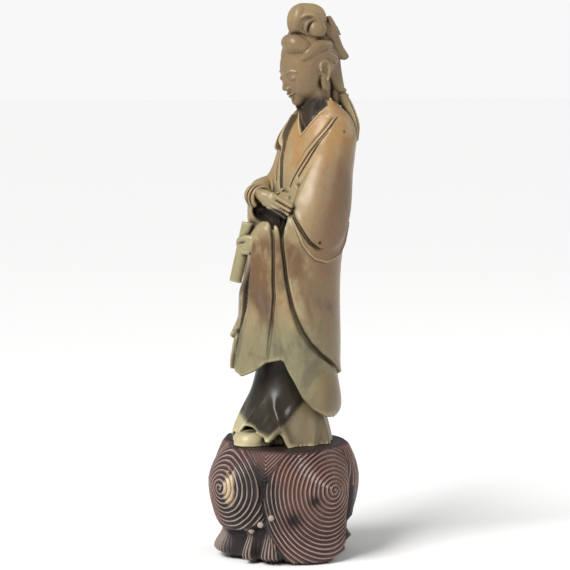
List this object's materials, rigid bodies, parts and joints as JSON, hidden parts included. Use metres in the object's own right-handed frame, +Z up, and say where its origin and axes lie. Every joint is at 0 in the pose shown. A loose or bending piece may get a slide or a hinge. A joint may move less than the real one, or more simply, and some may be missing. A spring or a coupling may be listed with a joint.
{
  "type": "guanyin figure",
  "caption": "Carved stone guanyin figure in layered robes holding a rolled scroll, on a separate plinth carved as coiled waves.",
  "frame": {"origin": "centre of the plinth's flat underside", "axes": "+Z up, the figure faces -Y and its left side is +X"},
  "size_m": [0.119, 0.119, 0.3985],
  "materials": {
    "figure_stone": "polished soapstone, ochre and beige running to olive green, worn gloss",
    "plinth_stone": "waxed reddish brown soapstone, paler on the ridges"
  },
  "bodies": {
    "root": {"figure": "figure_stone", "plinth": "plinth_stone"}
  },
  "joints": []
}
